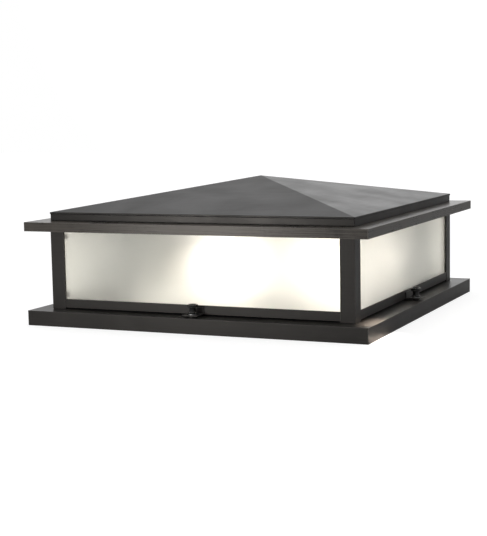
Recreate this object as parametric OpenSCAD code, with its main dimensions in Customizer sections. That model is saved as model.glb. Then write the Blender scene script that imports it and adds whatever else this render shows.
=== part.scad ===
// Low square bollard light for the top of a pier: a folded base pan, a glazed
// lantern that lifts off it, a hip roof and two screw-base lamps. Millimetres, +Z up.
// The origin is the centre of the base's underside and the front faces -Y.

/* [Overall] */
// Width and depth of the square base
base_w = 457; // [452:1:480]
// Height of the base's folded edge
base_h = 19; // [18:0.5:22]
// Width of the lantern over its corner posts
lantern_w = 410.5; // [404:0.5:412]
// Height of the top frame's underside above the ground
post_top = 120.5; // [116:0.5:160]
// Width of the top frame
frame_w = 458.6; // [450:0.2:480]
// Height of the top frame's edge
frame_h = 11.6; // [10:0.1:16]
// Width of the roof over its lip
roof_w = 411; // [408:0.5:416]
// Height of the roof's upright edge
fascia_h = 11.2; // [9:0.1:16]
// Rise of the roof from its edge to its peak
roof_rise = 36.7; // [20:0.1:80]

/* [Sheet metal] */
// Thickness of the folded sheet
sheet = 1.5; // [1.2:0.1:1.8]
// Width of the base's return lip
base_lip = 12; // [8:1:16]
// Width of the top frame's flanges
frame_flange = 39.3; // [34:0.1:44]
// Gap left at each mitre of the top frame
mitre_gap = 0.4; // [0.2:0.1:1]
// Height of the rolled lip along the roof's edge
roof_lip_h = 2.1; // [1.5:0.1:3]
// How far the rolled lip stands proud of the roof's edge
roof_lip_out = 0.7; // [0.4:0.1:1.2]

/* [Posts and rails] */
// Width of each leg of a corner post
post_leg = 19; // [17:0.5:22]
// Thickness of a corner post
post_t = 3.2; // [3:0.1:3.6]
// Height of a bottom rail
rail_h = 11.1; // [10:0.1:14]
// Gap between the base and the bottom rails
rail_gap = 2.2; // [2:0.1:3]
// Depth of the rail's inward ledge, which carries the glass
rail_ledge = 16; // [12:1:18]
// How far the rails sit behind the posts' faces
rail_inset = 0.6; // [0.2:0.1:1]

/* [Glass] */
// Thickness of a glass panel
glass_t = 3; // [2.5:0.1:3.2]
// Thickness of the pads under a glass panel
pad_t = 0.8; // [0.5:0.1:1.5]
// Height of a glass clip
clip_h = 5.7; // [4:0.1:8]
// Thickness of a glass clip's arms
clip_t = 1.2; // [1:0.1:1.6]

/* [Thumb screws] */
// Distance of a thumb screw's axis from the posts' outer face
screw_out = 10.8; // [10.4:0.1:11.2]
// Diameter of the thumb screw's head
head_d = 13.2; // [12:0.1:14]
// Diameter of the thumb screw's waist
waist_d = 7.8; // [7:0.1:9]
// Diameter of the thumb screw's lower flange
flange_d = 12; // [11:0.1:13]
// Height of the thumb screw's grip above its washer
grip_h = 11.5; // [10:0.1:14]
// Diameter of the threaded stem
stem_d = 4.1; // [4.05:0.01:4.14]
// Width of a lug
lug_w = 20; // [16:1:24]
// Reach of a lug beyond the rail
lug_reach = 20; // [19:0.5:21]

/* [Lamps] */
// Height of the lamps' axis
lamp_z = 70; // [66:1:78]
// Distance of each lamp's axis from the middle
lamp_y = 60; // [50:1:70]
// Place along X of the front lamp's contact
front_x = -98; // [-104:1:-90]
// Place along X of the back lamp's contact
back_x = 18; // [14:1:30]
// Diameter of a lamp's globe
globe_d = 60; // [58:0.5:62]
// Overall length of a lamp
lamp_l = 110; // [106:1:114]

/* [Mounting] */
// Spacing of the anchor holes, both ways
anchor_pitch = 300; // [280:5:320]
// Diameter of the anchor holes
anchor_d = 10.5; // [8:0.5:13]
// Bore of the cable grommet
grommet_bore = 13; // [10:0.5:16]

/* [Hidden] */
$fn = 64;

bronze = [0.25, 0.24, 0.22];
dark = [0.12, 0.12, 0.12];
white = [0.93, 0.93, 0.91];
steel = [0.72, 0.73, 0.75];
brass = [0.78, 0.62, 0.32];

eps = 1;                                        // how far a cutter runs past a face
front = 0;                                      // quarter turns from the front side
right = 1;
back = 2;
left = 3;

base_half = base_w / 2;
lantern_half = lantern_w / 2;
frame_half = frame_w / 2;
frame_inner = frame_half - frame_flange;
frame_top = post_top + frame_h;
roof_half = roof_w / 2;
fascia_half = roof_half - roof_lip_out;
eave_z = frame_top + fascia_h;

rail_face = lantern_half - rail_inset;
rail_z = base_h + rail_gap;
rail_half = lantern_half - post_leg;
ledge_z = rail_z + sheet;

glass_slack = 0.2;                              // between glass and post
glass_face = lantern_half - post_t - glass_slack;
glass_back = glass_face - glass_t;
glass_half = glass_back - 0.8;
glass_z0 = ledge_z + pad_t;
glass_z1 = post_top - 0.6;
pad_l = 20;
pad_x = 120;

clip_gap = 0.2;                                 // between a clip and the glass
clip_proud = 2.2;                               // how far an arm passes the post's edge
clip_z = [ledge_z + 12, post_top - 6 - clip_h];

screw_r = lantern_half + screw_out;             // a thumb screw's axis from the middle
lug_leg_h = 8.8;
lug_hole_d = 5;
washer_t = 0.8;
washer_d = 11;
nut_af = 8.6;
nut_h = 3;
nut_bore = stem_d + 0.1;
spacer_d = 9;
spacer_bore = 5.2;
stem_end = base_h - 6;
seal_half = lantern_half - post_t - 1;
seal_w = 6;
seal_clear = 0.2;                               // over the seal, and between its strips
grip_z = ledge_z + washer_t;

plate_t = 1;
plate_w = 368;
floor_z = base_h + plate_t;
anchor_xy = [for (sx = [-1, 1], sy = [-1, 1]) [sx, sy] * anchor_pitch / 2];
anchor_clear_d = 26;
grommet_hole_d = 22.2;
grommet_flange_d = 28;
grommet_flange_t = 2.5;
grommet_clear_d = 32;

front_tip = [front_x, -lamp_y];
back_tip = [back_x, lamp_y];
tips = [front_tip, back_tip];
bracket_t = 2;
bracket_w = 40;
bracket_foot = 20;
bracket_top = lamp_z + 22;
socket_back_at = -10;                           // socket faces along the lamp's axis
socket_mouth_at = 26;
socket_d = 38;
shell_d = 27.6;
shell_bore = 26.4;
shell_from = 1.5;
contact_t = 2;
window_d = 16;
socket_screw_y = 14;
cap_d = 26.24;
cap_l = 27;
globe_wall = 1;
globe_at = lamp_l - globe_d / 2;                // the globe's centre along the axis
neck_d = 26.6;
waist_at = 66;                                  // where the neck's cone meets the globe

screw_d = 4;
screw_head_d = 7.6;
screw_head_h = 2.4;
screw_l = 9;
small_screw_d = 3;
small_screw_head_d = 5.2;

term_xy = [-55, 0];
term_l = 40;
term_w = 20;
term_h = 14;
term_ear = 10;
term_ear_w = 12;
term_ear_t = bracket_t;
term_poles = [-12, 0, 12];
term_screw_y = 5;
ground_xy = [-15, -32];
lug_ring_d = 9;
lug_ring_t = 0.8;
lug_barrel_d = 3.6;
lug_barrel_l = 5;

foot_screw_y = 12;
foot_screw_x = bracket_foot / 2 + 1;
bracket_face = socket_back_at - bracket_t;
foot_screws = [for (t = tips, s = [-1, 1]) t + [bracket_face - foot_screw_x, s * foot_screw_y]];
ear_screws = [for (s = [-1, 1]) term_xy + [s * (term_l + term_ear) / 2 + s, 0]];

rivet_d = 3.2;
rivet_head_d = 6;
rivet_tail_d = 4.8;
roof_bracket_x = 100;
roof_bracket_w = 20;
roof_bracket_leg = 8;
roof_bracket_foot = 11.5;
rivet_y = 197;

lead_d = 2.6;
lead_sides = 8;
lead_steps = 4;                                 // rings between two points of a route
lead_z = floor_z + 7;
lead_rise = 4;
// Each lead's route, from its terminal to the thing it feeds
route_front_live = [
    [-67, -10, lead_z], [-67, -16, 27], [-80, -24, 27], [-102, -27, 28], [-122, -32, 36],
    [-131, -48, 54], [-126, -58, 68], [-117, -60, lamp_z + lead_rise],
    [front_x + socket_back_at, -lamp_y, lamp_z + lead_rise]
];
route_front_neutral = [
    [-55, -10, lead_z], [-55, -18, 26.5], [-76, -31, 25.5], [-102, -33.5, 26], [-119, -37, 32],
    [-127, -52, 46], [-123, -60, 60], [-117, -60, lamp_z - lead_rise],
    [front_x + socket_back_at, -lamp_y, lamp_z - lead_rise]
];
route_back_live = [
    [-67, 10, lead_z], [-67, 18, 27], [-58, 30, 27], [-40, 40, 27], [-24, 46, 34],
    [-15, 54, 54], [-10, 60, 68], [-2, 60, lamp_z + lead_rise],
    [back_x + socket_back_at, lamp_y, lamp_z + lead_rise]
];
route_back_neutral = [
    [-55, 10, lead_z], [-55, 17, 26.5], [-43, 26, 26], [-26, 32, 27], [-12, 42, 34],
    [-7, 54, 50], [-5, 60, 60], [0, 60, lamp_z - lead_rise],
    [back_x + socket_back_at, lamp_y, lamp_z - lead_rise]
];
lug_barrel_x = ground_xy[0] - lug_ring_d / 2 - lug_barrel_l;
lug_barrel_z = floor_z + lug_barrel_d / 2;
route_ground = [
    [-43, -10, lead_z], [-43, -17, 27], [-40, -25, 26], [-35, -30.5, 24], [-29.5, -32, 22],
    [lug_barrel_x, ground_xy[1], lug_barrel_z]
];

// A smooth curve through a route's points, lead_steps places to each stretch
function curve_at(a, b, c, d, t) =
    0.5 * (2 * b + (c - a) * t + (2 * a - 5 * b + 4 * c - d) * t * t
        + (3 * b - a - 3 * c + d) * t * t * t);
function route_point(p, i) = p[max(0, min(len(p) - 1, i))];
function smooth(p) = concat(
    [for (i = [0:len(p) - 2], k = [0:lead_steps - 1])
        curve_at(route_point(p, i - 1), p[i], p[i + 1], route_point(p, i + 2), k / lead_steps)],
    [p[len(p) - 1]]
);
function unit(v) = v / norm(v);
function heading(p, i) = unit(route_point(p, i + 1) - route_point(p, i - 1));
// A side direction for each ring, carried from ring to ring so that the tube doesn't twist
function carried(p, i, side) = unit(side - heading(p, i) * (side * heading(p, i)));
function sides(p, i, side) =
    i == len(p) ? [] : let (s = carried(p, i, side)) concat([s], sides(p, i + 1, s));
function ring(c, side, up) = [
    for (k = [0:lead_sides - 1]) let (a = 360 * k / lead_sides)
        c + (side * cos(a) + up * sin(a)) * lead_d / 2
];

module lead(route) {
    p = smooth(route);
    s = sides(p, 0, unit(cross(heading(p, 0), [0, 0, 1])));
    n = lead_sides;
    last = (len(p) - 1) * n;
    points = [for (i = [0:len(p) - 1]) each ring(p[i], s[i], cross(heading(p, i), s[i]))];
    walls = [
        for (i = [0:len(p) - 2], k = [0:n - 1]) let (a = i * n + k, b = i * n + (k + 1) % n)
            each [[a, a + n, b + n], [a, b + n, b]]
    ];
    ends = [[for (k = [0:n - 1]) k], [for (k = [0:n - 1]) last + n - 1 - k]];
    polyhedron(points, concat(walls, ends));
}

// A square slab centred on the Z axis
module slab(w, z0, z1) translate([-w / 2, -w / 2, z0]) cube([w, w, z1 - z0]);

// A vertical hole or disc
module disc(d, z0, z1) translate([0, 0, z0]) cylinder(h = z1 - z0, d = d);

module at(places) for (p = places) translate(p) children();

// The child, which is drawn at the front, turned to one of the four sides
module on_side(n) rotate([0, 0, 90 * n]) children();

module on_all_sides() for (n = [0:3]) on_side(n) children();

// The child, which is drawn along +Z from a lamp's contact, laid along +X at one socket
module along_lamp(tip) translate([tip[0], tip[1], lamp_z]) rotate([0, 90, 0]) children();

// A slotted pan-head screw, its head resting at z = 0
module pan_screw(d, head, l) difference() {
    union() {
        disc(head, 0, screw_head_h);
        disc(d, -l, 0);
    }
    translate([-head / 2 - eps, -0.5, screw_head_h - 1]) cube([head + 2 * eps, 1, 2]);
}

module base_pan() color(bronze) difference() {
    slab(base_w, 0, base_h);
    slab(base_w - 2 * sheet, sheet, base_h - sheet);
    slab(base_w - 2 * base_lip, -eps, sheet + eps);
    // the seams where the folded edges meet at the corners
    for (n = [0:3]) rotate([0, 0, 45 + 90 * n])
        translate([(base_half - base_lip) * sqrt(2) - eps, -0.25, -eps])
            cube([base_lip * 2, 0.5, base_h - sheet + eps]);
    at(anchor_xy) disc(anchor_d, 0, base_h + eps);
    disc(grommet_hole_d, 0, base_h + eps);
    on_all_sides() translate([0, -screw_r, 0]) disc(lug_hole_d, sheet + eps, base_h + eps);
    at(concat(foot_screws, ear_screws, [ground_xy])) disc(screw_d + 0.1, sheet + eps, base_h + eps);
}

module reflector_plate() color(white) difference() {
    slab(plate_w, base_h, floor_z);
    at(anchor_xy) disc(anchor_clear_d, 0, floor_z + eps);
    disc(grommet_clear_d, 0, floor_z + eps);
    at(concat(foot_screws, ear_screws, [ground_xy])) disc(screw_d + 0.4, 0, floor_z + eps);
}

module cable_grommet() color(dark) difference() {
    union() {
        disc(grommet_flange_d, base_h - sheet - grommet_flange_t, base_h - sheet);
        disc(grommet_hole_d - 0.1, base_h - sheet - eps, base_h + eps);
        disc(grommet_flange_d, base_h, base_h + grommet_flange_t);
    }
    disc(grommet_bore, 0, base_h + grommet_flange_t + eps);
}

module weld_nuts() color(steel) on_all_sides() translate([0, -screw_r, 0]) difference() {
    translate([0, 0, base_h - sheet - nut_h]) cylinder(h = nut_h, d = nut_af / cos(30), $fn = 6);
    disc(nut_bore, 0, base_h);
}

module spacer_rings() color(bronze) on_all_sides() translate([0, -screw_r, 0]) difference() {
    disc(spacer_d, base_h, rail_z - 0.1);
    disc(spacer_bore, 0, rail_z + eps);
}

// Foam strips between the base and the rails, which hold in the light
module lantern_seal() color(dark) on_all_sides() translate([-seal_half, -seal_half, base_h])
    cube([2 * seal_half - seal_w - seal_clear, seal_w, rail_gap - seal_clear]);

module base_screws() color(steel) {
    at(concat(foot_screws, ear_screws)) translate([0, 0, floor_z + bracket_t])
        pan_screw(screw_d, screw_head_d, screw_l);
    translate([ground_xy[0], ground_xy[1], floor_z + lug_ring_t])
        pan_screw(screw_d, screw_head_d, screw_l);
}

module bracket(tip) color(steel) difference() {
    union() {
        translate([tip[0] + bracket_face, tip[1] - bracket_w / 2, floor_z])
            cube([bracket_t, bracket_w, bracket_top - floor_z]);
        translate([tip[0] + bracket_face - bracket_foot, tip[1] - bracket_w / 2, floor_z])
            cube([bracket_foot + bracket_t, bracket_w, bracket_t]);
    }
    along_lamp(tip) {
        disc(window_d, bracket_face - eps, socket_back_at + eps);
        at([[0, -socket_screw_y], [0, socket_screw_y]])
            disc(small_screw_d + 0.3, bracket_face - eps, socket_back_at + eps);
    }
    at(foot_screws) disc(screw_d + 0.4, floor_z - eps, floor_z + bracket_t + eps);
}

module socket(tip) color("ivory") along_lamp(tip) difference() {
    disc(socket_d, socket_back_at, socket_mouth_at);
    disc(shell_d + 0.2, shell_from, socket_mouth_at + eps);
    disc(14, -contact_t, shell_from + eps);
    disc(5, socket_back_at - eps, 0);
    at([[0, -socket_screw_y], [0, socket_screw_y]])
        disc(small_screw_d + 0.1, socket_back_at - eps, 0);
}

module socket_shell(tip) color(brass) along_lamp(tip) difference() {
    disc(shell_d, shell_from, socket_mouth_at - 1);
    disc(shell_bore, 0, socket_mouth_at);
}

module socket_contacts() color(brass) for (tip = tips) along_lamp(tip) {
    disc(10, -contact_t, -0.05);
    disc(4.8, socket_back_at + 2, -contact_t);
}

module socket_screws() color(steel) for (tip = tips) along_lamp(tip)
    at([[0, -socket_screw_y], [0, socket_screw_y]])
        translate([0, 0, bracket_face]) mirror([0, 0, 1])
            pan_screw(small_screw_d, small_screw_head_d, 9);

module terminal_block() color(white) translate([term_xy[0], term_xy[1], floor_z]) difference() {
    union() {
        translate([-term_l / 2, -term_w / 2, 0]) cube([term_l, term_w, term_h]);
        translate([-term_l / 2 - term_ear, -term_ear_w / 2, 0])
            cube([term_l + 2 * term_ear, term_ear_w, term_ear_t]);
    }
    at([for (x = term_poles, s = [-1, 1]) [x, s * term_screw_y]]) {
        disc(6, term_h - 5, term_h + eps);
        disc(small_screw_d + 0.1, 4, term_h);
    }
    at([for (p = ear_screws) p - term_xy]) disc(screw_d + 0.4, -eps, term_ear_t + eps);
}

module terminal_screws() color(brass)
    at([for (x = term_poles, s = [-1, 1]) term_xy + [x, s * term_screw_y]])
        translate([0, 0, floor_z + term_h - 5]) pan_screw(small_screw_d, small_screw_head_d, 5);

module leads_front() {
    color(dark) lead(route_front_live);
    color(white) lead(route_front_neutral);
}

module leads_back() {
    color(dark) lead(route_back_live);
    color(white) lead(route_back_neutral);
}

module ground_lead() color("green") lead(route_ground);

module ground_lug() color(brass) difference() {
    union() {
        translate([ground_xy[0], ground_xy[1], 0]) disc(lug_ring_d, floor_z, floor_z + lug_ring_t);
        translate([lug_barrel_x, ground_xy[1], lug_barrel_z]) rotate([0, 90, 0])
            cylinder(h = lug_barrel_l, d = lug_barrel_d);
        translate([lug_barrel_x + 1, ground_xy[1] - 1.5, floor_z])
            cube([lug_barrel_l + 1, 3, lug_ring_t]);
    }
    translate([ground_xy[0], ground_xy[1], 0]) disc(screw_d + 0.4, 0, floor_z + 2 * lug_ring_t);
}

// An angle at the front right corner, welded to the top frame and standing on the base
module post(n) color(bronze) on_side(n) difference() {
    translate([rail_half, -lantern_half, base_h]) cube([post_leg, post_leg, post_top - base_h]);
    translate([rail_half - eps, -lantern_half + post_t, base_h - eps])
        cube([post_leg - post_t + eps, post_leg, post_top - base_h + 2 * eps]);
}

module rail(n) color(bronze) on_side(n) {
    translate([-rail_half, -rail_face, rail_z]) cube([2 * rail_half, sheet, rail_h]);
    translate([-rail_half, -rail_face, rail_z]) cube([2 * rail_half, rail_ledge, sheet]);
}

// The bracket welded to a rail, which its thumb screw clamps to the base
module lug(n) color(bronze) on_side(n) difference() {
    union() {
        translate([-lug_w / 2, -rail_face - sheet, rail_z]) cube([lug_w, sheet, lug_leg_h]);
        translate([-lug_w / 2, -rail_face - lug_reach, rail_z]) cube([lug_w, lug_reach, sheet]);
    }
    translate([0, -screw_r, 0]) disc(lug_hole_d, rail_z - eps, ledge_z + eps);
}

// A channel, open towards the middle, with mitred ends
module top_frame(n) color(bronze) on_side(n) difference() {
    translate([0, 0, post_top]) linear_extrude(frame_h) polygon([
        [-frame_half + mitre_gap / 2, -frame_half],
        [frame_half - mitre_gap / 2, -frame_half],
        [frame_inner - mitre_gap / 2, -frame_inner],
        [-frame_inner + mitre_gap / 2, -frame_inner]
    ]);
    translate([-frame_half, -frame_half + sheet, post_top + sheet])
        cube([frame_w, frame_flange, frame_h - 2 * sheet]);
    at([[-roof_bracket_x, -rivet_y], [roof_bracket_x, -rivet_y]])
        disc(rivet_d + 0.1, frame_top - sheet - eps, frame_top + eps);
}

module glass(n) color([0.95, 0.93, 0.88, 0.6]) on_side(n)
    translate([-glass_half, -glass_face, glass_z0])
        cube([2 * glass_half, glass_t, glass_z1 - glass_z0]);

// A corner clip holds the edges of two panels: a stem in the post's inner corner
// and an arm behind each panel
module glass_clips() color(dark) {
    inner = glass_back - clip_gap;
    stem_x0 = glass_half + clip_gap;
    stem_x1 = lantern_half - post_t;
    arm_x0 = rail_half - clip_proud;
    for (n = [0:3], z = clip_z) on_side(n) translate([0, 0, z]) {
        translate([stem_x0, -stem_x1, 0]) cube([stem_x1 - stem_x0, stem_x1 - stem_x0, clip_h]);
        translate([arm_x0, -inner, 0]) cube([inner - arm_x0, clip_t, clip_h]);
        translate([inner - clip_t, -inner, 0]) cube([clip_t, inner - arm_x0, clip_h]);
    }
}

module glass_pads() color(dark) on_all_sides()
    at([[-pad_x, 0], [pad_x, 0]]) translate([-pad_l / 2, -glass_face, ledge_z])
        cube([pad_l, glass_t, pad_t]);

// A square hip, w wide at its foot: where two ridged prisms cross
module hip(w, z0, rise) translate([0, 0, z0]) intersection_for (turn = [0, 90])
    rotate([90, 0, turn]) linear_extrude(w + 2 * eps, center = true)
        polygon([[-w / 2, 0], [w / 2, 0], [0, rise]]);

module roof() color(bronze) difference() {
    union() {
        slab(2 * fascia_half, frame_top, eave_z);
        slab(roof_w, eave_z - roof_lip_h, eave_z);
        hip(roof_w, eave_z, roof_rise);
    }
    slab(2 * (fascia_half - sheet), frame_top - eps, eave_z - sheet);
    hip(2 * (fascia_half - sheet), eave_z - sheet, roof_rise * (fascia_half - sheet) / roof_half);
}

module roof_brackets() color(steel) on_all_sides()
    at([[-roof_bracket_x, 0], [roof_bracket_x, 0]]) difference() {
        union() {
            translate([-roof_bracket_w / 2, -fascia_half + sheet, frame_top])
                cube([roof_bracket_w, sheet, roof_bracket_leg]);
            translate([-roof_bracket_w / 2, -fascia_half + sheet, frame_top])
                cube([roof_bracket_w, roof_bracket_foot, sheet]);
        }
        translate([0, -rivet_y, 0]) disc(rivet_d + 0.1, frame_top - eps, frame_top + sheet + eps);
    }

module roof_rivets() color(steel) on_all_sides()
    at([[-roof_bracket_x, -rivet_y], [roof_bracket_x, -rivet_y]]) {
        disc(rivet_head_d, frame_top + sheet, frame_top + sheet + 1.2);
        disc(rivet_d, frame_top - sheet, frame_top + sheet);
        disc(rivet_tail_d, frame_top - sheet - 1, frame_top - sheet);
    }

// The grip is a spool: a rimmed head, a narrow waist and a flared flange
module thumb_screw(n) color(dark) on_side(n) translate([0, -screw_r, 0]) {
    head_h = 4.2;
    flare_h = 3.4;
    disc(stem_d, stem_end, grip_z + eps);
    translate([0, 0, grip_z]) {
        rotate_extrude() difference() {
            square([flange_d / 2, flare_h]);
            translate([waist_d / 2 + flare_h - 0.8, flare_h]) circle(r = flare_h - 0.8);
            translate([waist_d / 2 + flare_h - 0.8, 0.8]) square([flange_d, flare_h]);
        }
        disc(waist_d, 0, grip_h - head_h + eps);
        difference() {
            disc(head_d, grip_h - head_h, grip_h);
            disc(head_d - 3.2, grip_h - 0.8, grip_h + eps);
        }
    }
}

module washer(n) color(steel) on_side(n) translate([0, -screw_r, 0]) difference() {
    disc(washer_d, ledge_z, grip_z);
    disc(stem_d + 0.1, 0, grip_z + eps);
}

module lamp_cap(tip) color(brass) along_lamp(tip) {
    disc(9, 0, 2);
    translate([0, 0, 2]) cylinder(h = 4, d1 = 14, d2 = 25);
    disc(cap_d, 6, cap_l);
}

// Half of the globe's outline, shrunk by a wall: a circle and the tapered neck that runs into it
module envelope(wall) {
    overlap = 3;
    waist_r = sqrt(pow(globe_d / 2, 2) - pow(globe_at - waist_at, 2));
    slope = (waist_r - neck_d / 2) / (waist_at - cap_l);
    intersection() {
        union() {
            translate([0, globe_at]) circle(d = globe_d - 2 * wall);
            polygon([
                [0, cap_l + wall],
                [neck_d / 2 - wall, cap_l + wall],
                [waist_r + slope * overlap - wall, waist_at + overlap],
                [0, waist_at + overlap]
            ]);
        }
        square([globe_d, lamp_l]);
    }
}

module lamp_globe(tip) color([1, 0.95, 0.85, 0.7]) along_lamp(tip) rotate_extrude() difference() {
    envelope(0);
    envelope(globe_wall);
}

// The glass stem inside a lamp, with its two wires and the filament between them
module lamp_mount(tip) color(steel) along_lamp(tip) {
    foot_at = cap_l + globe_wall;
    wire_end = globe_at - 6;
    wire_x = 8;
    translate([0, 0, foot_at]) cylinder(h = 20, d1 = 18, d2 = 6);
    for (s = [-1, 1]) hull() {
        translate([s * 2, 0, foot_at + 18]) sphere(d = 0.8, $fn = 12);
        translate([s * wire_x, 0, wire_end]) sphere(d = 0.8, $fn = 12);
    }
    translate([-wire_x, 0, wire_end]) rotate([0, 90, 0]) cylinder(h = 2 * wire_x, d = 1.4);
}

base_pan();
reflector_plate();
cable_grommet();
weld_nuts();
spacer_rings();
base_screws();
lantern_seal();
bracket(front_tip);  // bracket_front
bracket(back_tip);  // bracket_back
socket(front_tip);  // socket_front
socket(back_tip);  // socket_back
socket_shell(front_tip);  // socket_shell_front
socket_shell(back_tip);  // socket_shell_back
socket_contacts();
socket_screws();
terminal_block();
terminal_screws();
leads_front();
leads_back();
ground_lead();
ground_lug();
post(front);  // post_front_right
post(right);  // post_back_right
post(back);  // post_back_left
post(left);  // post_front_left
rail(front);  // rail_front
rail(right);  // rail_right
rail(back);  // rail_back
rail(left);  // rail_left
lug(front);  // lug_front
lug(right);  // lug_right
lug(back);  // lug_back
lug(left);  // lug_left
top_frame(front);  // top_frame_front
top_frame(right);  // top_frame_right
top_frame(back);  // top_frame_back
top_frame(left);  // top_frame_left
glass(front);  // glass_front
glass(right);  // glass_right
glass(back);  // glass_back
glass(left);  // glass_left
glass_clips();
glass_pads();
roof();
roof_brackets();
roof_rivets();
thumb_screw(front);  // thumb_screw_front
thumb_screw(right);  // thumb_screw_right
thumb_screw(back);  // thumb_screw_back
thumb_screw(left);  // thumb_screw_left
washer(front);  // washer_front
washer(right);  // washer_right
washer(back);  // washer_back
washer(left);  // washer_left
lamp_cap(front_tip);  // lamp_cap_front
lamp_cap(back_tip);  // lamp_cap_back
lamp_globe(front_tip);  // lamp_globe_front
lamp_globe(back_tip);  // lamp_globe_back
lamp_mount(front_tip);  // lamp_mount_front
lamp_mount(back_tip);  // lamp_mount_back
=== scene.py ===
"""A low square bollard light: dark bronze sheet metal, frosted glass and two lit lamps.

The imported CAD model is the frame. Its nodes stay and get bevels and materials, apart from the
thumb screws, lamp globes and lamp caps, which are made again in more detail. Units are metres,
+Z is up and the front faces -Y.
"""
import math

import bmesh
import bpy
from mathutils import Matrix, Vector


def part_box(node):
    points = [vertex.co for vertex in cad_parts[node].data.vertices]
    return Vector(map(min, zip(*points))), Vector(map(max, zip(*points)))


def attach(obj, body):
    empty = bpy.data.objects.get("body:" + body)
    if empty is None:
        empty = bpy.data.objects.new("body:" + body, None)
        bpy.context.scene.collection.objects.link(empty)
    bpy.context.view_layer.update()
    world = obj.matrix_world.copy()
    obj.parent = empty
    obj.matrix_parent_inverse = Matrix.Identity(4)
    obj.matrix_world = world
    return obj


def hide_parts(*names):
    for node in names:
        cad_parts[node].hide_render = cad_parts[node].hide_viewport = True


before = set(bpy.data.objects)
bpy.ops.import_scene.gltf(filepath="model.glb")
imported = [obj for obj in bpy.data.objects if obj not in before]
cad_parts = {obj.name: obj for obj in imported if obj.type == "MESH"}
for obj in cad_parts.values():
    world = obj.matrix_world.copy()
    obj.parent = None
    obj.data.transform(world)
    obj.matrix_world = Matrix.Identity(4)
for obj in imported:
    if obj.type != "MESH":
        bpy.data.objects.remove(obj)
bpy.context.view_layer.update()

MM = 0.001
SIDES = ("front", "right", "back", "left")
CORNERS = ("front_right", "back_right", "back_left", "front_left")
LAMPS = ("front", "back")

# Where things are, from the frame
BASE_LOW, BASE_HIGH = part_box("base_pan")
BASE_W = BASE_HIGH.x - BASE_LOW.x
GLASS_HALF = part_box("glass_front")[1].x         # from a pane's middle to its end

# How bright the lit lamps are, and the glows painted on the plate under them and at the panes' ends
LAMP_HEAT = {"front": 7.2, "back": 8.8}         # each lit globe's strength
NECK_SHARE = 0.05                               # a globe's neck against its round end
POOL_STRENGTH = 2.0                               # strength of the pool of light painted on the plate under a lamp
POOL_NEAR, POOL_FAR = 35 * MM, 90 * MM          # where that painted pool starts to fade, and where it ends
POOL_ASIDE = Vector((-10 * MM, -20 * MM))       # the painted pool's middle from the globe's low end
PAINTED_END_GLOW = 0.08                               # strength of the glow painted on a pane towards its two ends


# Materials -----------------------------------------------------------------------------------

class Nodes:
    """Short calls that build a node tree."""

    def __init__(self, tree):
        self.tree = tree

    def add(self, kind, inputs=None, **settings):
        """A node of that kind. An input given as a socket is linked, and any other is set."""
        node = self.tree.nodes.new("ShaderNode" + kind)
        for key, value in settings.items():
            setattr(node, key, value)
        for key, value in (inputs or {}).items():
            self.put(node.inputs[key], value)
        return node

    def put(self, socket, value):
        if isinstance(value, bpy.types.NodeSocket):
            self.tree.links.new(value, socket)
        else:
            socket.default_value = value

    def math(self, operation, a, b=0.0, c=0.0):
        node = self.add("Math", {0: a, 1: b, 2: c}, operation=operation)
        return node.outputs[0]

    def span(self, value, low, high, out_low=0.0, out_high=1.0):
        """value moved from low..high to out_low..out_high, and held there."""
        inputs = {"Value": value, "From Min": low, "From Max": high,
                  "To Min": out_low, "To Max": out_high}
        return self.add("MapRange", inputs).outputs["Result"]

    def seen(self):
        """1 where a surface is looked at, directly or through glass, and 0 for other light."""
        path = self.add("LightPath").outputs
        return self.math("MAXIMUM", path["Is Camera Ray"], path["Is Transmission Ray"])

    def mix(self, factor, a, b):
        node = self.add("Mix", data_type="RGBA")
        self.put(node.inputs[0], factor)
        self.put(node.inputs[6], a)
        self.put(node.inputs[7], b)
        return node.outputs[2]


class Shader(Nodes):
    """One procedural material on a Principled surface. Its places are the frame's, in metres."""

    def __init__(self, name):
        self.material = bpy.data.materials.new(name)
        self.material.use_nodes = True
        super().__init__(self.material.node_tree)
        self.surface = self.tree.nodes["Principled BSDF"]
        self.place = self.add("TexCoord").outputs["Object"]

    def noise(self, scale, detail=3.0, roughness=0.55, stretch=(1, 1, 1), distortion=0.0):
        """Noise from 0 to 1. scale is features to the metre, and stretch multiplies it by axis."""
        place = self.place
        if tuple(stretch) != (1, 1, 1):
            place = self.add("Mapping", {"Vector": place, "Scale": stretch}).outputs[0]
        inputs = {"Vector": place, "Scale": scale, "Detail": detail, "Roughness": roughness,
                  "Distortion": distortion}
        return self.add("TexNoise", inputs).outputs["Fac"]

    def bump(self, height, distance, strength=1.0, under=None):
        inputs = {"Height": height, "Distance": distance, "Strength": strength}
        if under is not None:
            inputs["Normal"] = under
        return self.add("Bump", inputs).outputs["Normal"]

    def edges(self, radius):
        """1 along the convex and concave edges, within about that radius, and 0 elsewhere."""
        round_normal = self.add("Bevel", {"Radius": radius}, samples=6).outputs["Normal"]
        flat_normal = self.add("NewGeometry").outputs["Normal"]
        dot = self.add("VectorMath", {0: round_normal, 1: flat_normal}, operation="DOT_PRODUCT")
        return self.span(dot.outputs["Value"], 0.99, 0.8)

    def set(self, **inputs):
        """Sets the surface shader's inputs. Underscores stand for spaces."""
        for key, value in inputs.items():
            label = key.replace("_", " ").title().replace("Ior", "IOR")
            self.put(self.surface.inputs[label], value)
        return self


def grey(level, warmth=0.0):
    """A colour with that linear level. warmth above 0 leans it to brown."""
    return (level * (1 + warmth), level, level * (1 - warmth), 1)


EDGE_HIGHLIGHT_REACH = 1.4 * MM                            # how far in from an edge the painted highlight reaches


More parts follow.
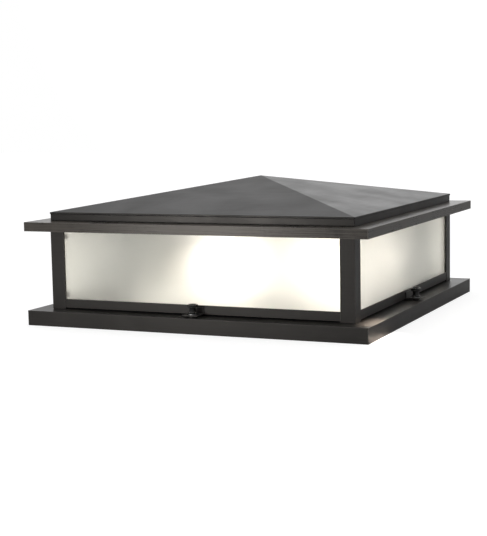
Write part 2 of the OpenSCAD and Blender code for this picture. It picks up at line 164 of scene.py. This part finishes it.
def bronze(name, level, warmth, roughness, mottle, brushing):
    """Dark bronze paint over steel: clouded patches, fine brushed lines, and a painted highlight
    that lightens the edges.

    level is its grey, mottle how far that varies, and brushing the share of the lines in it.
    """
    s = Shader(name)
    cloud = s.noise(14, detail=4, roughness=0.55, distortion=0.4)
    brush = s.noise(1, detail=3, roughness=0.7, stretch=(16, 16, 1300))
    grain = s.noise(1800, detail=2)
    patches = s.span(cloud, 0.34, 0.68)
    streaks = s.span(brush, 0.35, 0.65)
    tone = s.math("ADD", s.math("MULTIPLY", patches, 1 - brushing),
                  s.math("MULTIPLY", streaks, brushing))
    colour = s.mix(tone, grey(level * (1 - mottle), warmth),
                   grey(level * (1 + mottle), warmth * 1.3))
    # painted highlight: edges are lightened, broken up by grain, where a rounded edge would catch
    # light
    edge_highlight = s.math("MULTIPLY", s.edges(EDGE_HIGHLIGHT_REACH), s.span(grain, 0.3, 0.7, 0.4, 0.7))
    highlighted_colour = s.mix(edge_highlight, colour, grey(level * 1.6 + 0.1, warmth))
    dull = s.math("MULTIPLY_ADD", tone, 0.1, roughness - 0.05)
    dull = s.math("MULTIPLY_ADD", grain, 0.05, dull)
    relief = s.bump(brush, 0.01 * MM, 0.25 + 0.35 * brushing)
    relief = s.bump(grain, 0.02 * MM, 0.25, under=relief)
    relief = s.bump(cloud, 0.25 * MM, 0.12, under=relief)
    s.set(base_color=highlighted_colour, metallic=0.0, roughness=dull, ior=1.42, normal=relief,
          specular_tint=(1.0, 0.965, 0.945, 1))
    return s.material


def plain_metal(name, colour, roughness, brush_scale, stretch):
    """Bare plated or brushed metal, with fine lines and dull patches."""
    s = Shader(name)
    lines = s.noise(brush_scale, detail=3, stretch=stretch)
    cloud = s.noise(60, detail=4)
    dark = tuple(c * 0.72 for c in colour[:3]) + (1,)
    s.set(base_color=s.mix(s.span(cloud, 0.35, 0.7), colour, dark), metallic=1.0,
          roughness=s.math("MULTIPLY_ADD", cloud, 0.25, roughness - 0.1),
          normal=s.bump(lines, 0.03 * MM, 0.5))
    return s.material


def coated(name, colour, roughness, grain_scale, relief, coat=0.0, gloss=0.5):
    """Paint, plastic, rubber or glaze: an even colour with slight dirt, and a fine grained skin."""
    s = Shader(name)
    grain = s.noise(grain_scale, detail=3)
    cloud = s.noise(35, detail=5)
    dirty = tuple(c * 0.8 for c in colour[:3]) + (1,)
    s.set(base_color=s.mix(s.span(cloud, 0.45, 0.8), colour, dirty),
          roughness=s.math("MULTIPLY_ADD", cloud, 0.15, roughness - 0.07),
          normal=s.bump(grain, relief, 0.5), coat_weight=coat, coat_roughness=0.05,
          specular_ior_level=gloss)
    return s.material


def frosted_glass():
    """Etched glass that blurs the lamps, with a faint glow painted on it towards its ends."""
    s = Shader("frosted_glass")
    grain = s.noise(1100, detail=3)
    cloud = s.noise(11, detail=4)
    sides = s.add("SeparateXYZ", {0: s.place}).outputs
    along = s.math("MINIMUM", s.math("ABSOLUTE", sides[0]), s.math("ABSOLUTE", sides[1]))
    # painted light: the pane glows more towards the posts, though it is no lamp
    painted_glow = s.span(along, 0.5 * GLASS_HALF, GLASS_HALF, 0.0, PAINTED_END_GLOW)
    tint = s.mix(s.span(cloud, 0.3, 0.7), (0.925, 0.925, 0.875, 1), (0.945, 0.94, 0.9, 1))
    s.set(base_color=tint,
          roughness=s.span(cloud, 0.3, 0.7, 0.46, 0.52), transmission_weight=0.9,
          emission_color=(1.0, 0.95, 0.85, 1), emission_strength=painted_glow,
          normal=s.bump(grain, 0.02 * MM, 0.2))
    return s.material


def enamel_with_painted_pool():
    """Gloss white paint under the lamps, with a pool of light painted on it under each of them."""
    material = coated("white_enamel", (0.88, 0.88, 0.85, 1), 0.3, 1200, 0.02 * MM, coat=0.5)
    s = Nodes(material.node_tree)
    place = s.add("TexCoord").outputs["Object"]
    # painted light: the plate glows round a spot under each lamp, standing for the lamp light it
    # would catch
    painted_pool = 0.0
    for which in LAMPS:
        low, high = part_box(f"lamp_globe_{which}")
        middle = Vector((low.x + POOL_ASIDE.x, (low.y + high.y) / 2 + POOL_ASIDE.y, BASE_HIGH.z))
        away = s.add("VectorMath", {0: place, 1: middle}, operation="DISTANCE").outputs["Value"]
        painted_pool = s.math("ADD", s.span(away, POOL_NEAR, POOL_FAR, POOL_STRENGTH, 0.0), painted_pool)
    surface = material.node_tree.nodes["Principled BSDF"]
    surface.inputs["Emission Color"].default_value = (1.0, 0.95, 0.87, 1)
    s.put(surface.inputs["Emission Strength"], painted_pool)
    return material


def lamp_glass():
    """A lit frosted globe: brightest round its filament, and dim down its neck."""
    s = Shader("lamp_glass")
    grain = s.noise(700, detail=2)
    cloud = s.noise(30, detail=3)
    near = 0.0
    for which in LAMPS:
        low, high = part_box(f"lamp_globe_{which}")
        radius = (high.z - low.z) / 2
        filament = Vector((high.x - radius, (low.y + high.y) / 2, (low.z + high.z) / 2))
        away = s.add("VectorMath", {0: s.place, 1: filament}, operation="DISTANCE").outputs["Value"]
        heat = LAMP_HEAT[which]
        lit = s.span(away, radius, 1.5 * radius, heat, NECK_SHARE * heat)
        near = s.math("MAXIMUM", lit, near)
    uneven = s.math("MULTIPLY", s.span(cloud, 0.3, 0.7, 0.9, 1.1), near)
    s.set(base_color=(0.95, 0.92, 0.85, 1), roughness=0.35, emission_color=(1.0, 0.93, 0.86, 1),
          emission_strength=uneven, normal=s.bump(grain, 0.02 * MM, 0.3))
    return s.material


# Meshes --------------------------------------------------------------------------------------

def piece(name, mesh, material, body, stands_for):
    """A finished mesh as a shown piece that rides on a body in place of a CAD node."""
    mesh.materials.append(material)
    obj = bpy.data.objects.new(name, mesh)
    bpy.context.scene.collection.objects.link(obj)
    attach(obj, body)
    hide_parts(stands_for)
    return obj


def skin(name, rings):
    """A smooth mesh through rings of points, all of the same count, with a cap at each end."""
    mesh = bpy.data.meshes.new(name)
    bm = bmesh.new()
    made = [[bm.verts.new(p) for p in ring] for ring in rings]
    count = len(made[0])
    for low, high in zip(made, made[1:]):
        for k in range(count):
            following = (k + 1) % count
            bm.faces.new((low[k], low[following], high[following], high[k]))
    bm.faces.new(made[0][::-1])
    bm.faces.new(made[-1])
    bmesh.ops.recalc_face_normals(bm, faces=bm.faces)
    for face in bm.faces:
        face.smooth = len(face.verts) == 4
    bm.to_mesh(mesh)
    bm.free()
    return mesh


def lathe(profile, segments, squeeze=None):
    """Rings about +Z through (radius, height) points.

    squeeze(radius, height, angle) gives a point's own radius.
    """
    rings = []
    for radius, height in profile:
        ring = []
        for k in range(segments):
            angle = 2 * math.pi * k / segments
            r = squeeze(radius, height, angle) if squeeze else radius
            ring.append((r * math.cos(angle), r * math.sin(angle), height))
        rings.append(ring)
    return rings


def thread(radius, depth, pitch, low, high, steps=8):
    """The profile and squeeze of a rounded right-hand screw thread between two heights."""
    count = round((high - low) / pitch * steps)
    profile = [(radius, low + (high - low) * k / count) for k in range(count + 1)]

    def squeeze(r, height, angle):
        run_out = min(1, (height - low) / pitch, (high - height) / pitch)
        turn = height / pitch - angle / (2 * math.pi)
        return r - depth * (0.5 - 0.5 * math.cos(2 * math.pi * turn) * run_out)

    return profile, squeeze


def moved(rings, matrix):
    return [[matrix @ Vector(p) for p in ring] for ring in rings]


def arc(centre, radius, start, end, count):
    """Points on an arc in a profile, from one angle to another, in degrees."""
    angles = [math.radians(start + (end - start) * k / count) for k in range(count + 1)]
    return [(centre[0] + radius * math.cos(a), centre[1] + radius * math.sin(a)) for a in angles]


# Pieces --------------------------------------------------------------------------------------

GRIP_H = 11.5 * MM                              # a thumb screw's grip, above its washer
HEAD_H = 4.2 * MM
WAIST_R = 3.9 * MM
FLANGE_R = 6.0 * MM
FLARE_R = 2.6 * MM                              # the curve from the waist to the flange
NECK_FILLET = 0.8 * MM                          # from the waist to the head
HEAD_ROUND = 0.6 * MM                           # the head's two rims
STEM_R = 2.05 * MM
STEM_PITCH = 0.79375 * MM
WASHER_GAP = 0.03 * MM
KNURLS = 30
KNURL_DEPTH = 0.35 * MM


def thumb_screw(side, material):
    """A spool-shaped grip with a knurled, dished head, on a threaded stem."""
    low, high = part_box(f"thumb_screw_{side}")
    head_r = (high.x - low.x) / 2
    grip_z = high.z - GRIP_H
    place = Matrix.Translation(((low.x + high.x) / 2, (low.y + high.y) / 2, grip_z))
    under = GRIP_H - HEAD_H
    side_low, side_high = under + HEAD_ROUND, GRIP_H - HEAD_ROUND

    def knurl(r, height, angle):
        if side_low < height < side_high and r > head_r - 0.1 * MM:
            return r - KNURL_DEPTH * (0.5 - 0.5 * math.cos(KNURLS * angle))
        return r

    profile = [(STEM_R, WASHER_GAP), (FLANGE_R - 0.3 * MM, WASHER_GAP), (FLANGE_R, 0.25 * MM),
               (FLANGE_R, 0.6 * MM), (FLANGE_R - 0.15 * MM, 0.85 * MM)]
    profile += arc((WAIST_R + FLARE_R, 0.8 * MM + FLARE_R), FLARE_R, 260, 180, 8)
    profile += arc((WAIST_R + NECK_FILLET, under - NECK_FILLET), NECK_FILLET, 180, 90, 4)
    profile += arc((head_r - HEAD_ROUND, side_low), HEAD_ROUND, -90, -10, 4)
    profile += [(head_r, under + 0.7 * MM), (head_r, side_high - 0.05 * MM)]
    profile += arc((head_r - HEAD_ROUND, side_high), HEAD_ROUND, 10, 90, 4)
    profile += arc((head_r - 1.4 * MM, GRIP_H - 0.5 * MM), 0.5 * MM, 90, 180, 3)
    profile += [(head_r - 2.2 * MM, GRIP_H - 0.9 * MM), (0.5 * head_r, GRIP_H - 0.8 * MM),
                (0.05 * MM, GRIP_H - 0.7 * MM)]
    grip = moved(lathe(profile, 4 * KNURLS, knurl), place)
    stem_profile, spiral = thread(STEM_R, 0.25 * MM, STEM_PITCH, low.z - grip_z, 0.3 * MM)
    stem = moved(lathe(stem_profile, 24, spiral), place)
    for part, rings in (("grip", grip), ("stem", stem)):
        piece(f"thumb_{part}_{side}", skin(f"{part}_{side}", rings), material,
              f"thumb_screw_{side}", f"thumb_screw_{side}")


CAP_PITCH = 3.63 * MM
NECK_SLOPE, BULB_SLOPE = 0.05, 0.528            # how the neck leaves the cap and meets the globe
BULB_JOIN = 14 * MM                             # the join's distance before the globe's centre
NECK_R = 13.2 * MM
NECK_STEPS = 14


def along_x(low, high):
    """The move that lays a lathe's +Z along +X, from the low end of a lamp part's box."""
    start = Vector((low.x, (low.y + high.y) / 2, (low.z + high.z) / 2))
    return Matrix.Translation(start) @ Matrix.Rotation(math.radians(90), 4, "Y")


def lamp_globe(which, material):
    """A frosted bulb: a round globe on a neck that narrows to its cap."""
    low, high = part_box(f"lamp_globe_{which}")
    radius = (high.z - low.z) / 2
    centre = high.x - low.x - radius
    join = centre - BULB_JOIN
    join_r = math.sqrt(radius ** 2 - BULB_JOIN ** 2)
    profile = [(NECK_R - 1.5 * MM, 0), (NECK_R, 0)]
    for k in range(1, NECK_STEPS):
        t = k / NECK_STEPS
        r = (NECK_R * (2 * t ** 3 - 3 * t ** 2 + 1) + join_r * (3 * t ** 2 - 2 * t ** 3)
             + join * NECK_SLOPE * (t ** 3 - 2 * t ** 2 + t)
             + join * BULB_SLOPE * (t ** 3 - t ** 2))
        profile.append((r, join * t))
    start = math.degrees(math.atan2(-BULB_JOIN, join_r))
    profile += arc((0, centre), radius, start, 89, 26)
    mesh = skin(f"globe_{which}", moved(lathe(profile, 64), along_x(low, high)))
    piece(f"bulb_{which}", mesh, material, f"lamp_{which}", f"lamp_globe_{which}")


def lamp_cap(which, metal, insulator):
    """A screw cap: rolled thread, black insulator and centre contact."""
    low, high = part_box(f"lamp_cap_{which}")
    radius = (high.z - low.z) / 2 - 0.05 * MM
    length = high.x - low.x
    lay = along_x(low, high)
    shell_at, rim_at = 6 * MM, length - 3 * MM
    spiral_profile, spiral = thread(radius, 0.9 * MM, CAP_PITCH, shell_at, rim_at, 10)
    profile = [(radius - 2 * MM, shell_at), *spiral_profile, (radius - 0.5 * MM, rim_at + 0.5 * MM),
               (radius - 0.5 * MM, length - 0.3 * MM), (radius - 1 * MM, length)]

    def squeeze(r, height, angle):
        return spiral(r, height, angle) if shell_at < height < rim_at else r

    shell = skin(f"cap_shell_{which}", moved(lathe(profile, 48, squeeze), lay))
    piece(f"cap_{which}", shell, metal, f"lamp_travel_{which}", f"lamp_cap_{which}")
    cone = [(5 * MM, 1.2 * MM), (7 * MM, 2.2 * MM), (11 * MM, 5 * MM),
            (radius - 1.5 * MM, shell_at)]
    collar = skin(f"cap_collar_{which}", moved(lathe(cone, 48), lay))
    piece(f"cap_insulator_{which}", collar, insulator, f"lamp_travel_{which}",
          f"lamp_cap_{which}")
    tip = [(3.6 * MM, 0), *arc((3.8 * MM, 0.6 * MM), 0.6 * MM, -80, 0, 4), (4.4 * MM, 2 * MM)]
    contact = skin(f"cap_contact_{which}", moved(lathe(tip, 32), lay))
    piece(f"cap_tip_{which}", contact, metal, f"lamp_travel_{which}", f"lamp_cap_{which}")


# CAD nodes -----------------------------------------------------------------------------------

WELD_GAP = 0.002 * MM


def soften(node, width, angle=40, flat=False):
    """Rounds a CAD node's edges sharper than that angle, in degrees, and shades its faces flat.

    flat is for a node with no curved faces. Its triangles are merged into whole faces first,
    because a bevel makes wedges at the ends of long thin ones.
    """
    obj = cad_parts[node]
    for polygon in obj.data.polygons:
        polygon.use_smooth = not flat
    weld = obj.modifiers.new("weld", "WELD")
    weld.merge_threshold = WELD_GAP
    if flat:
        merge = obj.modifiers.new("merge", "DECIMATE")
        merge.decimate_type = "DISSOLVE"
        merge.angle_limit = math.radians(1)
    bevel = obj.modifiers.new("bevel", "BEVEL")
    bevel.width = width
    bevel.segments = 2
    bevel.limit_method = "ANGLE"
    bevel.angle_limit = math.radians(angle)
    if not flat:
        bevel.face_strength_mode = "FSTR_ALL"
        normals = obj.modifiers.new("normals", "WEIGHTED_NORMAL")
        normals.mode = "FACE_AREA"
        normals.weight = 100
        normals.use_face_influence = True


def paint(node, material):
    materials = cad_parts[node].data.materials
    materials.clear()
    materials.append(material)


def dress_cad():
    """Every CAD node's material and edges."""
    body = bronze("bronze", 0.024, 0.05, 0.34, 0.3, 0.3)
    # bronze_rim is the same paint made lighter, with more mottle and brushing: a painted reflection
    # for the brighter light the frame reflects
    rim = bronze("bronze_rim", 0.055, 0.1, 0.27, 0.6, 0.5)
    # bronze_roof is the same paint made darker: painted shade that holds down the front light's
    # reflection on the fascia
    roof = bronze("bronze_roof", 0.006, 0.03, 0.32, 0.3, 0.2)
    clip = bronze("bronze_clip", 0.01, 0.05, 0.45, 0.3, 0.2)
    zinc = plain_metal("zinc", (0.62, 0.63, 0.64, 1), 0.35, 900, (1, 1, 0.1))
    brass = plain_metal("brass", (0.8, 0.6, 0.26, 1), 0.3, 900, (1, 1, 0.1))
    glass = frosted_glass()
    porcelain = coated("porcelain", (0.86, 0.84, 0.78, 1), 0.25, 500, 0.02 * MM, coat=0.8)
    plastic = coated("white_plastic", (0.8, 0.8, 0.77, 1), 0.5, 1500, 0.03 * MM)
    rubber = coated("rubber", (0.008, 0.008, 0.008, 1), 0.75, 1500, 0.04 * MM, gloss=0.1)
    wire = coated("wire", (0.03, 0.03, 0.03, 1), 0.45, 1500, 0.02 * MM)
    green = coated("green_wire", (0.02, 0.16, 0.04, 1), 0.45, 1500, 0.02 * MM)
    filament = plain_metal("filament", (0.7, 0.66, 0.6, 1), 0.3, 1500, (1, 1, 1))
    looks = {
        "base_pan": body, "reflector_plate": enamel_with_painted_pool(), "cable_grommet": rubber, "weld_nuts": zinc,
        "spacer_rings": body, "lantern_seal": rubber, "base_screws": zinc, "socket_screws": zinc,
        "terminal_block": plastic, "terminal_screws": brass, "socket_contacts": brass,
        "ground_lug": brass, "ground_lead": green, "glass_clips": clip, "glass_pads": rubber,
        "roof": roof, "roof_brackets": zinc, "roof_rivets": zinc,
    }
    for side in SIDES:
        looks.update({f"rail_{side}": body, f"lug_{side}": body, f"top_frame_{side}": rim,
                      f"glass_{side}": glass, f"washer_{side}": zinc})
    for corner in CORNERS:
        looks[f"post_{corner}"] = body
    for which in LAMPS:
        looks.update({f"bracket_{which}": zinc, f"socket_{which}": porcelain,
                      f"socket_shell_{which}": brass, f"leads_{which}": wire,
                      f"lamp_mount_{which}": filament})
    for node, material in looks.items():
        paint(node, material)
    soften("base_pan", 0.8 * MM, flat=True)
    soften("roof", 0.6 * MM, angle=10)
    for side in SIDES:
        soften(f"top_frame_{side}", 0.5 * MM, flat=True)
        soften(f"rail_{side}", 0.3 * MM)
        soften(f"lug_{side}", 0.3 * MM)
        soften(f"glass_{side}", 0.4 * MM)
    for corner in CORNERS:
        soften(f"post_{corner}", 1.0 * MM)
    for node in ("glass_clips", "terminal_block", "bracket_front", "bracket_back"):
        soften(node, 0.25 * MM)


def dress_parts():
    """The pieces that stand in for plain CAD nodes."""
    screw = coated("screw_black", (0.006, 0.006, 0.005, 1), 0.14, 900, 0.01 * MM, coat=0.2)
    brass = bpy.data.materials["brass"]
    wire = bpy.data.materials["wire"]
    bulb = lamp_glass()
    for side in SIDES:
        thumb_screw(side, screw)
    for which in LAMPS:
        lamp_globe(which, bulb)
        lamp_cap(which, brass, wire)


# Stage ---------------------------------------------------------------------------------------

VIEW_YAW = math.radians(24.238)                 # to the right of straight on
VIEW_PITCH = math.radians(6.868)                # downwards
VIEW_ROLL = math.radians(-1.111)
VIEW_FROM = Vector((1.5479, -3.5759, 0.5883))   # in widths of the base
VIEW_LENS = 88.55
SENSOR = 36
FLOOR_HALF = 6.0
FLOOR_GLOW = 0.75                               # only where the floor is looked at
BACK_LIGHT = Vector((-0.34, 0.9, 0.12))         # towards the bright part of the backdrop
DARK_SIDE = Vector((0.9, -0.4, -0.1))           # towards the part that is left dark
PANEL_AT = Vector((-0.52, -1.4, 0.08))          # a panel that faces the light's front
PANEL_SIZE = (0.22, 0.1)
PANEL_POWER = 2.6
LEDGE_AT = Vector((0.2262, -0.188, 0.062))      # over the base's front right corner
LEDGE_SIZE = (0.002, 0.05)
LEDGE_POWER = 0.05
LEDGE_SPREAD = math.radians(60)


def camera():
    """A fixed view from the front right and a little above."""
    data = bpy.data.cameras.new("camera")
    data.lens = VIEW_LENS
    data.sensor_width = SENSOR
    obj = bpy.data.objects.new("camera", data)
    bpy.context.scene.collection.objects.link(obj)
    ahead = Vector((-math.sin(VIEW_YAW) * math.cos(VIEW_PITCH),
                    math.cos(VIEW_YAW) * math.cos(VIEW_PITCH), -math.sin(VIEW_PITCH)))
    level = ahead.cross(Vector((0, 0, 1))).normalized()
    upward = level.cross(ahead)
    across = level * math.cos(VIEW_ROLL) + upward * math.sin(VIEW_ROLL)
    upward = upward * math.cos(VIEW_ROLL) - level * math.sin(VIEW_ROLL)
    turn = Matrix((across, upward, -ahead)).transposed()
    obj.matrix_world = Matrix.Translation(VIEW_FROM * BASE_W) @ turn.to_4x4()
    bpy.context.scene.camera = obj


def stage():
    """A pale floor that looks white, and doesn't glow under the base, where seams would show it."""
    mesh = bpy.data.meshes.new("floor")
    corners = [(x * FLOOR_HALF, y * FLOOR_HALF, 0) for x, y in ((-1, -1), (1, -1), (1, 1), (-1, 1))]
    mesh.from_pydata(corners, [], [(0, 1, 2, 3)])
    floor = bpy.data.objects.new("floor", mesh)
    bpy.context.scene.collection.objects.link(floor)
    s = Shader("floor_paint")
    sides = s.add("SeparateXYZ", {0: s.place}).outputs
    out = s.math("MAXIMUM", s.math("ABSOLUTE", sides[0]), s.math("ABSOLUTE", sides[1]))
    clear = s.span(out, BASE_HIGH.x - 3 * MM, BASE_HIGH.x - 2 * MM)
    lit = s.math("MULTIPLY", s.math("MULTIPLY", s.seen(), FLOOR_GLOW), clear)
    s.set(base_color=s.mix(s.noise(3, detail=4), grey(0.31), grey(0.34)), roughness=0.9,
          emission_color=(1, 1, 1, 1), emission_strength=lit)
    mesh.materials.append(s.material)


def area_light(name, size, power, colour, place):
    """A rectangular light that no one sees. It shines down its own -Z."""
    data = bpy.data.lights.new(name, "AREA")
    data.shape = "RECTANGLE"
    data.size, data.size_y = size
    data.energy = power
    data.color = colour
    obj = bpy.data.objects.new(name, data)
    bpy.context.scene.collection.objects.link(obj)
    obj.visible_camera = False
    obj.visible_transmission = False
    obj.matrix_world = place
    return data


def light():
    """A backdrop that looks white and lights the object from behind on the left and from overhead.

    A panel lights the front, and a narrow warm light stands for the lamps' light on the base's
    corner.
    """
    world = bpy.data.worlds.new("studio")
    world.use_nodes = True
    bpy.context.scene.world = world
    s = Nodes(world.node_tree)
    towards = s.add("TexCoord").outputs["Generated"]
    height = s.add("SeparateXYZ", {0: towards}).outputs[2]
    beside = s.add("VectorMath", {0: towards, 1: BACK_LIGHT.normalized()}, operation="DOT_PRODUCT")
    behind = s.span(beside.outputs["Value"], 0.95, 0.99, 0.0, 0.95)
    above = s.span(height, 0.7, 0.95, 0.0, 1.6)
    dark = s.add("VectorMath", {0: towards, 1: DARK_SIDE.normalized()}, operation="DOT_PRODUCT")
    even = s.span(dark.outputs["Value"], 0.7, 0.93, 0.42, 0.04)
    level = s.math("ADD", s.math("ADD", behind, above), even)
    background = world.node_tree.nodes["Background"]
    background.inputs["Color"].default_value = (1, 1, 1, 1)
    s.put(background.inputs["Strength"], s.math("MAXIMUM", level, s.seen()))
    bpy.context.scene.view_settings.view_transform = "Standard"
    place = Matrix.Translation(PANEL_AT) @ PANEL_AT.to_track_quat("Z", "Y").to_matrix().to_4x4()
    area_light("front_panel", PANEL_SIZE, PANEL_POWER, (1.0, 0.97, 0.92), place)
    place = Matrix.Translation(LEDGE_AT)
    ledge = area_light("ledge_glow", LEDGE_SIZE, LEDGE_POWER, (1.0, 0.84, 0.7), place)
    ledge.spread = LEDGE_SPREAD


dress_cad()
dress_parts()
camera()
stage()
light()
